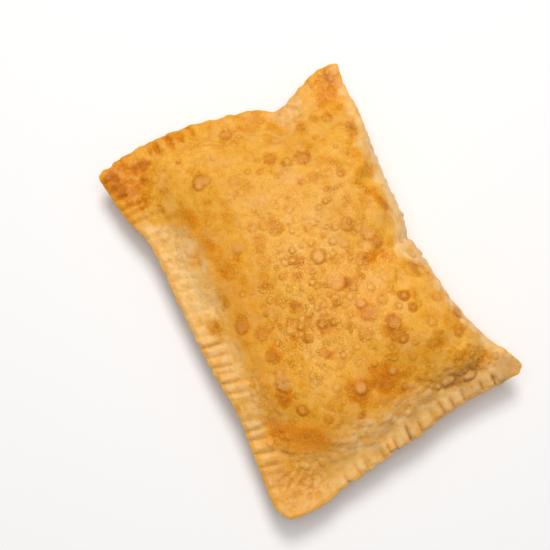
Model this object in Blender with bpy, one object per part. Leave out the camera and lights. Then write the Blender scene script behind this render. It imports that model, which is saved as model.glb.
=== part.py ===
"""A fried rectangular turnover: one sealed, puffed pillow of thin dough.

A sheet of dough is folded over its filling along the +Y side, and the other three
sides are pressed shut with a fork. Frying blows the middle up and pulls the sides in,
while the four corners stay behind as flat flaps. The turnover lies on its belly, which
is flat where it touches the table. +X runs along the length, towards the pale end.

Every size below is in millimetres. The shape is worked out in them too, and turned into
metres once, when its points are placed.
"""

import bmesh
import bpy
import numpy as np

MILLIMETRE = 0.001

# The outline from above: the points that each side runs through
SEAM_SIDE = (
    (-99.4, -68.0), (-75.0, -66.2), (-53.4, -61.7), (-17.4, -63.5), (38.6, -64.6), (66.6, -68.4),
    (90.6, -71.0), (100.6, -70.4),
)
FOLD_SIDE = (
    (-90.9, 68.5), (-79.4, 65.5), (-61.4, 64.6), (-25.4, 58.8), (-5.4, 56.8), (6.6, 53.1),
    (12.1, 55.0), (44.6, 56.0), (68.6, 61.0), (82.6, 68.7), (92.3, 70.6),
)
LEFT_END = (
    (-99.4, -68.0), (-101.7, -47.0), (-99.2, -18.0), (-91.4, 13.0), (-84.7, 25.0), (-84.0, 31.0),
    (-89.4, 47.0), (-91.6, 56.0), (-90.9, 68.5),
)
RIGHT_END = (
    (100.6, -70.4), (101.0, -53.0), (97.1, -24.0), (95.4, 4.0), (92.1, 29.0), (91.7, 43.0),
    (92.9, 56.0), (92.3, 70.6),
)

MEAN_LENGTH = 192
MEAN_WIDTH = 125

# Each corner's rounding, lift above the seam, flat flap, and climb beyond the flap
CORNERS = {
    "left seam": (2.0, 1.5, 11.0, 30.0),
    "left fold": (1.5, 2.0, 14.0, 36.0),
    "right seam": (8.5, 1.5, 13.0, 34.0),
    "right fold": (6.0, 3.0, 9.0, 24.0),
}

# Heights above the table, and thicknesses
SEAM_HEIGHT = 16.0
SEAM_WAVE, SEAM_WAVE_LENGTH = 0.8, 55
TOP_RISE = 24.0
BELLY_DEPTH = 17.0
FLATTENED = 0.04
FLANGE_THICKNESS = 3.0
RIM_THICKNESS = 1.9
RIM_ROUNDING = 2.0

# Widths across the dough, measured in from each side
FLANGE_WIDTHS = {"seam": 12.5, "left": 9.0, "right": 10.0}
TOP_REACH = {"seam": 46, "fold": 36, "left": 56, "right": 54}
BELLY_REACH = {"seam": 54, "fold": 50, "left": 72, "right": 72}
CREASE_SOFTNESS = 2.2

# Runs of fork marks: middle of the first one, how many, spacing and depth.
# Those of the seam are placed by x and those of the two ends by y
FORK_RUNS = {
    "seam": (
        (-95.0, 3, 5.6, 0.9), (-77.0, 4, 5.6, 1.3), (-56.0, 7, 3.5, 0.5), (-30.0, 5, 6.4, 0.4),
        (5.0, 5, 6.7, 1.5), (40.0, 4, 6.1, 0.9), (64.5, 4, 5.4, 1.4), (86.0, 2, 5.2, 0.7),
    ),
    "left": ((-61.0, 3, 6.2, 1.0), (-42.0, 6, 5.6, 1.2), (-8.0, 4, 6.0, 0.5), (44.0, 2, 6.5, 0.4)),
    "right": (
        (-60.0, 3, 5.8, 0.7), (-40.0, 4, 6.0, 0.8), (-15.0, 2, 5.6, 0.9), (-3.5, 3, 6.8, 1.3),
        (18.0, 2, 6.0, 0.8), (30.0, 2, 6.5, 1.3), (46.5, 2, 7.0, 1.6),
    ),
}
GROOVE_HALF_WIDTH = 0.85
GROOVE_SLANT = 0.12  # sideways for each millimetre inwards, at most
CELL_HEIGHT = 0.7
RIM_PULL = 0.5  # for each millimetre of groove depth
RIM_PULL_WIDTH = 4.0

# Uneven dough
SWELL_HEIGHT, SWELL_LENGTH = 0.5, 48
PUCKER_HEIGHT, PUCKER_LENGTH = 0.8, 17
PUCKER_REACH = (10, 36)

# The largest blisters on the upper face: x, y, radius and height
BLISTERS = (
    (-4, 6.5, 4.0, 1.3), (10.5, 8, 5.6, 1.2), (-2.5, 34, 4.6, 0.9), (-11, 26.5, 3.6, 0.7),
    (-13, 21, 2.6, 0.7), (33, 33, 3.0, 0.9), (39.5, 33.5, 2.6, 0.8), (20, 32, 4.8, 0.6),
    (-24, 42.5, 4.6, 0.8), (-13, 48, 5.2, 0.9), (28, 12.5, 3.6, 0.9), (22.5, 44.5, 4.2, 0.8),
    (-30, 50, 5.0, 0.6), (60, 48.5, 3.4, 0.8), (52, 53, 3.4, 0.8), (50, 38.5, 3.0, 0.5),
    (43.5, 21, 6.2, 1.3), (50.5, 22.5, 2.8, 0.8), (61, 9.5, 3.8, 1.0), (40, 7.5, 4.2, 0.8),
    (81.5, 43, 3.4, 1.6), (78.5, 32.5, 3.2, 1.6), (61, -7.5, 4.6, 1.9), (41.5, -39.5, 5.2, 1.4),
    (56, -37, 3.2, 0.7), (73, -36, 5.4, 0.9), (60, -51, 4.4, 0.8), (-27, -5, 4.6, 0.7),
    (-9, -5, 3.4, 0.8), (26, -7, 4.0, 0.9), (11.5, -14.5, 4.2, 0.5), (21, -19, 3.2, 0.8),
    (28, -18.5, 3.4, 0.8), (-28, -25.5, 4.0, 0.9), (14, -35.5, 4.0, 0.7), (26, -36.5, 4.2, 0.9),
    (6, -42, 4.2, 1.0), (-66, -24.5, 5.4, 1.3), (-84.5, -1, 4.0, 0.7), (-84, -58, 3.6, 1.1),
    (-87, -49, 3.6, 0.9), (-93.5, -62, 3.0, 0.8), (-53, 57, 4.8, 0.8), (-67, 47.5, 3.4, 0.8),
    (-69.5, 42, 3.2, 0.6), (-52.5, 25, 4.6, 0.9), (-68, 18, 3.4, 0.6), (-82, 52, 5.0, 0.5),
)
BELLY_BLISTERS = 26
BELLY_BLISTER_AREA = ((-80, -45), (75, 50))
BELLY_BLISTER_RADII = (2.5, 5.5)
BELLY_BLISTER_HEIGHT = 0.20  # of the radius
RANDOM_SEED = 7

# Creases that frying left: x, y, direction in degrees, length, half width and depth
CREASES = (
    (-78, 28, -14, 20, 4.5, 3.0), (6.6, 51, -88, 11, 2.6, 1.6), (79.5, 42, 80, 30, 2.6, 3.2),
    (-60, -48, 82, 16, 2.2, 1.2), (83, -52, 128, 17, 1.3, 0.8), (89, -56, 152, 14, 1.2, 0.7),
    (80, -58, 106, 13, 1.2, 0.8), (-90, -50, 118, 18, 1.6, 1.2),
)

COLUMNS, ROWS = 260, 184
CROWDING_AT_FOLD = 0.16
NORMAL_STEP = 0.004  # of half the grid
MOST_TRIANGLES = 11200
DOUGH_COLOUR = (0.75, 0.36, 0.07, 1.0)


def clear_scene():
    for obj in list(bpy.data.objects):
        bpy.data.objects.remove(obj)


def smooth_step(value, low, high):
    u = np.clip((value - low) / (high - low), 0, 1)
    return u * u * (3 - 2 * u)


def smooth_line(points, steps=24):
    """A function from 0..1 to points spaced evenly along one smooth curve through the points."""
    knots = np.array(points)
    ends = np.vstack([2 * knots[0] - knots[1], knots, 2 * knots[-1] - knots[-2]])
    w = np.linspace(0, 1, steps, endpoint=False)[:, None]
    dense = [
        0.5 * (2 * b + (c - a) * w + (2 * a - 5 * b + 4 * c - d) * w**2 + (3 * b - a - 3 * c + d) * w**3)
        for a, b, c, d in zip(ends, ends[1:], ends[2:], ends[3:])
    ]
    line = np.vstack([*dense, knots[-1:]])
    travelled = np.concatenate([[0], np.cumsum(np.linalg.norm(np.diff(line, axis=0), axis=1))])
    share = travelled / travelled[-1]
    return lambda u: np.stack([np.interp(u, share, line[:, k]) for k in (0, 1)], axis=-1)


SEAM, FOLD, LEFT, RIGHT = map(smooth_line, (SEAM_SIDE, FOLD_SIDE, LEFT_END, RIGHT_END))
CORNER_POINTS = np.array((SEAM_SIDE[0], FOLD_SIDE[0], SEAM_SIDE[-1], FOLD_SIDE[-1]))


def rounded_corners(s, t):
    """Grid positions moved so that each of the grid's square corners follows a small arc."""
    radius = np.choose((s > 0) * 2 + (t > 0), [corner[0] for corner in CORNERS.values()])
    half_length, half_width = MEAN_LENGTH / 2 / radius, MEAN_WIDTH / 2 / radius
    x = np.clip(1 - (1 - np.abs(s)) * half_length, 0, 1)
    y = np.clip(1 - (1 - np.abs(t)) * half_width, 0, 1)
    s = s - np.sign(s) * x * (1 - np.sqrt(1 - y * y / 2)) / half_length
    t = t - np.sign(t) * y * (1 - np.sqrt(1 - x * x / 2)) / half_width
    return s, t


def flat_sheet(s, t):
    """Where grid position (s, t), each from -1 to 1, lies in plan, and how far it is from each side."""
    s, t = rounded_corners(s, t)
    a, b = (1 + s) / 2, (1 + t) / 2
    seam, fold, left, right = SEAM(a), FOLD(a), LEFT(b), RIGHT(b)
    length = np.linalg.norm(right - left, axis=-1)
    width = np.linalg.norm(fold - seam, axis=-1)
    inward = {"seam": b * width, "fold": (1 - b) * width, "left": a * length, "right": (1 - a) * length}
    a, b = a[..., None], b[..., None]
    lower = (1 - a) * CORNER_POINTS[0] + a * CORNER_POINTS[2]
    upper = (1 - a) * CORNER_POINTS[1] + a * CORNER_POINTS[3]
    plan = (1 - b) * seam + b * fold + (1 - a) * left + a * right - (1 - b) * lower - b * upper
    return plan, inward


def swell(plan, length, seed, waves=9):
    """Soft random hills, about 1 high, from a few crossed waves near the given length."""
    rng = np.random.default_rng(seed)
    total = np.zeros(plan.shape[:-1])
    for _ in range(waves):
        turn, phase = rng.uniform(0, 2 * np.pi, 2)
        wave = 2 * np.pi / (length * rng.uniform(0.7, 1.5))
        total += np.cos(wave * (plan @ np.array((np.cos(turn), np.sin(turn)))) + phase)
    return total / np.sqrt(waves)


def rise(distance, reach):
    """How far the dough has climbed: 0 at the crease beside the flange, 1 from reach onwards."""
    soft = (distance + np.sqrt(distance**2 + CREASE_SOFTNESS**2)) / 2
    u = np.clip(soft / reach, 0, 1)
    return (1 - (1 - u) ** 2.3) ** 0.85


def bend(distance, reach):
    """The same at the folded side, which is round and starts upright."""
    u = np.clip(distance / reach, 0, 1)
    return np.sqrt(1 - (1 - u) ** 2.2)


def puff(plan, inward, reach):
    """Share of the full height at each point: none on the flange and the corner flaps."""
    share = bend(inward["fold"], reach["fold"])
    for side, flange in FLANGE_WIDTHS.items():
        share = share * rise(inward[side] - flange, reach[side])
    for point, (_, _, flap, climb) in zip(CORNER_POINTS, CORNERS.values()):
        away = np.linalg.norm(plan - point, axis=-1)
        share = share * smooth_step(away, flap, flap + climb)
    return share


def fork_marks(plan, inward, side, seed):
    """Depth of the grooves where a fork was pressed along one side."""
    rng = np.random.default_rng(seed)
    along = plan[..., 0 if side == "seam" else 1]
    marks = np.zeros_like(along)
    for first, count, spacing, depth in FORK_RUNS[side]:
        slant = rng.uniform(-GROOVE_SLANT, GROOVE_SLANT)
        for number in range(count):
            middle = first + (number + rng.uniform(-0.1, 0.1)) * spacing
            reach = FLANGE_WIDTHS[side] * rng.uniform(0.86, 1.04)
            across = (along - middle - slant * inward[side]) / GROOVE_HALF_WIDTH
            ends = smooth_step(inward[side], -0.2, 1.2) * (1 - smooth_step(inward[side], reach - 2.2, reach))
            groove = depth * rng.uniform(0.75, 1.0) * np.exp(-(across**2)) * ends
            marks = np.maximum(marks, groove)
    return marks


def all_fork_marks(plan, inward):
    return {
        side: fork_marks(plan, inward, side, RANDOM_SEED + number)
        for number, side in enumerate(FORK_RUNS)
    }


def cells(inward):
    """Dough pushed up between the grooves, over the width of each flange."""
    height = np.zeros_like(inward["seam"])
    for side, flange in FLANGE_WIDTHS.items():
        bulge = smooth_step(inward[side], 0.4, 2.5) * (1 - smooth_step(inward[side], flange - 3, flange + 1))
        height = np.maximum(height, bulge)
    return CELL_HEIGHT * height


def seam_level(plan, s, t):
    a, b = (1 + s) / 2, (1 + t) / 2
    near = ((1 - a) * (1 - b), (1 - a) * b, a * (1 - b), a * b)
    lift = sum(corner[1] * share**3 for corner, share in zip(CORNERS.values(), near))
    return SEAM_HEIGHT + lift + SEAM_WAVE * swell(plan, SEAM_WAVE_LENGTH, RANDOM_SEED + 10)


def crease_depth(plan):
    depth = np.zeros(plan.shape[:-1])
    for x, y, degrees, length, half_width, deep in CREASES:
        turn = np.radians(degrees)
        away = plan - np.array((x, y))
        forward = away @ np.array((np.cos(turn), np.sin(turn)))
        sideways = away @ np.array((-np.sin(turn), np.cos(turn)))
        ends = 1 - smooth_step(np.abs(forward), 0.25 * length, 0.6 * length)
        depth += deep * ends * np.exp(-((sideways / half_width) ** 2))
    return depth


def face(s, t, upper):
    """Points of the upper or the lower face, before its blisters."""
    plan, inward = flat_sheet(s, t)
    marks = all_fork_marks(plan, inward)
    rim_marks = sum(marks[side] * np.clip(1 - inward[side] / RIM_PULL_WIDTH, 0, 1) for side in marks)
    outwards = plan / np.linalg.norm(plan, axis=-1, keepdims=True).clip(1e-3)
    plan = plan - outwards * (RIM_PULL * rim_marks)[..., None]
    rim = np.minimum.reduce(list(inward.values()))
    thickness = RIM_THICKNESS + (FLANGE_THICKNESS - RIM_THICKNESS) * smooth_step(rim, 0, RIM_ROUNDING)
    share = puff(plan, inward, TOP_REACH if upper else BELLY_REACH)
    near_seam = smooth_step(share, 0.02, 0.25) * (1 - smooth_step(rim, *PUCKER_REACH))
    uneven = share * SWELL_HEIGHT * swell(plan, SWELL_LENGTH, RANDOM_SEED + 20 + upper)
    uneven += near_seam * PUCKER_HEIGHT * swell(plan, PUCKER_LENGTH, RANDOM_SEED + 30 + upper)
    level = seam_level(plan, s, t)
    if upper:
        sunk = np.maximum.reduce(list(marks.values())) + crease_depth(plan) * smooth_step(share, 0, 0.3)
        height = TOP_RISE * share + uneven + cells(inward) - sunk
        z = level + thickness / 2 + np.maximum(height, -0.4 * thickness)
    else:
        z = level - thickness / 2 - np.maximum(BELLY_DEPTH * share + uneven, 0)
    return np.concatenate([plan, z[..., None]], axis=-1)


def outward(s, t, upper, points):
    """Unit normals of a face, from points a small step away on it."""
    ahead = np.where(s < 0, NORMAL_STEP, -NORMAL_STEP)
    aside = np.where(t < 0, NORMAL_STEP, -NORMAL_STEP)
    one = (face(s + ahead, t, upper) - points) * np.sign(ahead)[..., None]
    two = (face(s, t + aside, upper) - points) * np.sign(aside)[..., None]
    normal = np.cross(one, two) * (1 if upper else -1)
    return normal / np.linalg.norm(normal, axis=-1, keepdims=True).clip(1e-12)


def dome(points, middle, radius):
    """A low round dome, 1 at its middle and 0 from its radius outwards."""
    out = np.linalg.norm(points - middle, axis=-1) / radius
    return np.clip(1 - out**2.6, 0, 1) ** 1.1


def nearest_point(points, x, y):
    return points[np.argmin(np.hypot(points[:, 0] - x, points[:, 1] - y))]


def belly_blisters():
    rng = np.random.default_rng(RANDOM_SEED)
    for _ in range(BELLY_BLISTERS):
        x, y = rng.uniform(*BELLY_BLISTER_AREA)
        radius = rng.uniform(*BELLY_BLISTER_RADII)
        yield x, y, radius, BELLY_BLISTER_HEIGHT * radius


def blistered(points, normals, blisters):
    raised = sum(
        height * dome(points, nearest_point(points, x, y), radius) for x, y, radius, height in blisters
    )
    return points + normals * raised[:, None]


def closed_sheet(bm):
    """Two layers of a grid from -1 to 1, joined round their edges. z is 1 on the upper one."""
    bmesh.ops.create_grid(bm, x_segments=COLUMNS, y_segments=ROWS, size=1)
    raised = bmesh.ops.extrude_face_region(bm, geom=bm.faces[:], use_keep_orig=True)["geom"]
    upper = [item for item in raised if isinstance(item, bmesh.types.BMVert)]
    bmesh.ops.translate(bm, vec=(0, 0, 1), verts=upper)
    bmesh.ops.recalc_face_normals(bm, faces=bm.faces[:])


def finer_at_fold(t):
    """Grid rows moved closer together towards the folded side, where the dough turns upright."""
    return t + CROWDING_AT_FOLD * np.sin(np.pi * (t + 1) / 2) * (1 + t) / 2


def shape_pastry(bm):
    grid = np.array([vert.co for vert in bm.verts])
    s, t = grid[:, 0], np.clip(finer_at_fold(grid[:, 1]), -1, 1)
    shaped = np.empty_like(grid)
    for upper in (True, False):
        layer = (grid[:, 2] > 0.5) == upper
        points = face(s[layer], t[layer], upper)
        normals = outward(s[layer], t[layer], upper, points)
        shaped[layer] = blistered(points, normals, BLISTERS if upper else belly_blisters())
    shaped[:, 2] = np.maximum(shaped[:, 2], 0)
    for vert, place in zip(bm.verts, shaped):
        vert.co = place * MILLIMETRE


def thinned(obj):
    """The object's mesh with fewer, larger triangles where it is smooth."""
    modifier = obj.modifiers.new("fewer triangles", "DECIMATE")
    modifier.ratio = MOST_TRIANGLES / (2 * len(obj.data.polygons))
    mesh = bpy.data.meshes.new_from_object(obj.evaluated_get(bpy.context.evaluated_depsgraph_get()))
    obj.modifiers.clear()
    obj.data = mesh


def settle_on_table(obj):
    """Presses the belly exactly flat on the table, under an origin in the middle of the outline."""
    bm = bmesh.new()
    bm.from_mesh(obj.data)
    places = np.array([vert.co for vert in bm.verts])
    middle = (places.min(axis=0) + places.max(axis=0)) / 2
    for vert, (x, y, z) in zip(bm.verts, places):
        vert.co = (x - middle[0], y - middle[1], 0 if z < FLATTENED * MILLIMETRE else z)
    bmesh.ops.recalc_face_normals(bm, faces=bm.faces[:])
    bm.to_mesh(obj.data)
    bm.free()


def dough_material():
    material = bpy.data.materials.new("fried dough")
    material.use_nodes = True
    shader = material.node_tree.nodes["Principled BSDF"]
    shader.inputs["Base Color"].default_value = DOUGH_COLOUR
    shader.inputs["Roughness"].default_value = 0.5
    shader.inputs["Metallic"].default_value = 0.0
    return material


def main():
    clear_scene()
    mesh = bpy.data.meshes.new("pastry")
    pastry = bpy.data.objects.new("pastry", mesh)
    bpy.context.scene.collection.objects.link(pastry)
    bm = bmesh.new()
    closed_sheet(bm)
    shape_pastry(bm)
    bm.to_mesh(mesh)
    bm.free()
    thinned(pastry)
    settle_on_table(pastry)
    pastry.data.materials.clear()
    pastry.data.materials.append(dough_material())
    pastry.data.shade_smooth()


main()
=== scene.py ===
from math import cos, radians, sin

import bmesh
import bpy
import numpy as np
from mathutils import Matrix, Vector, noise


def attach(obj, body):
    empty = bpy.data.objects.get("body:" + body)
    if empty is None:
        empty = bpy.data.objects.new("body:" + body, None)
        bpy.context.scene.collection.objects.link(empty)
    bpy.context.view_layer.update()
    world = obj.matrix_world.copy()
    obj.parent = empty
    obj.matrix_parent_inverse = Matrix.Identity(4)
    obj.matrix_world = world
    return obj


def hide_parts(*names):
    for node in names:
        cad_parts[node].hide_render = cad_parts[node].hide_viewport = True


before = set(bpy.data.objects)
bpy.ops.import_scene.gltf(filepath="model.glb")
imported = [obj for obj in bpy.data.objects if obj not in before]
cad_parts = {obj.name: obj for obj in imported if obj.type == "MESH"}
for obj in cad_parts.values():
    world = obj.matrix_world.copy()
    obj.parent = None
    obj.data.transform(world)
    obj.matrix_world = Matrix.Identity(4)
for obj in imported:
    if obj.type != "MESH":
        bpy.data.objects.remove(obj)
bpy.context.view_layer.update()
print("frame loaded")

millimetre = 0.001


def linearColour(hexText):
    parts = [int(hexText[i:i + 2], 16) / 255 for i in (1, 3, 5)]
    return [p / 12.92 if p <= 0.04045 else ((p + 0.055) / 1.055) ** 2.4 for p in parts] + [1.0]


# ---- camera, light and floor

view = {
    "azimuth": 60.47, "elevation": 80.5, "distance": 0.65,  # degrees, metres
    "target": (0.0, 0.0, 0.02),
    "targetPixel": (307.96, 277.13), "pictureSize": 550,
    "pixelsPerMetre": 1994,  # at the target
    "sensor": 36,
}
studio = {
    "floorColour": "#efeeee", "floorSize": 6.0,
    "skyColour": "#f6f7fa", "skyStrength": 0.3,
    "keyColour": "#fffcf7", "keyPower": 17.0, "keySize": 0.7,
    "keyPlace": (-0.79, 0.43, 1.54),
    "topColour": "#ffffff", "topPower": 12.0, "topSize": 1.4,
    "topPlace": (-0.08, 0.05, 1.6),
}


def addCamera():
    azimuth, elevation = radians(view["azimuth"]), radians(view["elevation"])
    right = Vector((cos(azimuth), sin(azimuth), 0))
    back = Vector((sin(azimuth) * cos(elevation), -cos(azimuth) * cos(elevation), sin(elevation)))
    up = back.cross(right)
    size = view["pictureSize"]
    focal = view["pixelsPerMetre"] * view["distance"]
    across = (view["targetPixel"][0] - size / 2) / view["pixelsPerMetre"]
    upwards = (size / 2 - view["targetPixel"][1]) / view["pixelsPerMetre"]
    eye = Vector(view["target"]) + view["distance"] * back - across * right - upwards * up
    data = bpy.data.cameras.new("camera")
    data.sensor_width = view["sensor"]
    data.lens = focal / size * view["sensor"]
    data.clip_start = 0.01
    camera = bpy.data.objects.new("camera", data)
    camera.matrix_world = Matrix((right, up, back)).transposed().to_4x4()
    camera.location = eye
    bpy.context.scene.collection.objects.link(camera)
    bpy.context.scene.camera = camera


def addAreaLight(name):
    data = bpy.data.lights.new(name + "Light", "AREA")
    data.color = linearColour(studio[name + "Colour"])[:3]
    data.energy = studio[name + "Power"]
    data.shape = "DISK"
    data.size = studio[name + "Size"]
    light = bpy.data.objects.new(name + "Light", data)
    place = Vector(studio[name + "Place"])
    light.location = place
    light.rotation_euler = (-place).to_track_quat("-Z", "Y").to_euler()
    bpy.context.scene.collection.objects.link(light)


def addNode(tree, kind, settings=(), links=(), **properties):
    node = tree.nodes.new(kind)
    for name, value in properties.items():
        setattr(node, name, value)
    for socket, value in dict(settings).items():
        node.inputs[socket].default_value = value
    for socket, source in dict(links).items():
        tree.links.new(source, node.inputs[socket])
    return node


def newMaterial(name):
    material = bpy.data.materials.new(name)
    material.use_nodes = True
    material.node_tree.nodes.clear()
    return material, material.node_tree


def addStudio():
    world = bpy.data.worlds.new("studio")
    bpy.context.scene.world = world
    world.use_nodes = True
    sky = world.node_tree.nodes["Background"]
    sky.inputs["Color"].default_value = linearColour(studio["skyColour"])
    sky.inputs["Strength"].default_value = studio["skyStrength"]
    addAreaLight("key")
    addAreaLight("top")
    # a smooth pale board, matt enough to show no reflection
    material, tree = newMaterial("pale matt board")
    shader = addNode(tree, "ShaderNodeBsdfPrincipled", {
        "Base Color": linearColour(studio["floorColour"]), "Roughness": 0.55, "Specular IOR Level": 0.25,
    })
    addNode(tree, "ShaderNodeOutputMaterial", links={"Surface": shader.outputs[0]})
    mesh = bpy.data.meshes.new("floor")
    bm = bmesh.new()
    bmesh.ops.create_grid(bm, x_segments=1, y_segments=1, size=studio["floorSize"] / 2)
    bm.to_mesh(mesh)
    bm.free()
    floor = bpy.data.objects.new("floor", mesh)
    mesh.materials.append(material)
    bpy.context.scene.collection.objects.link(floor)
    bpy.context.scene.view_settings.view_transform = "Standard"


addCamera()
addStudio()
print("camera, light and floor placed")

# ---- the fried dough: one closed sheet, in millimetres until its points are placed

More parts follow.
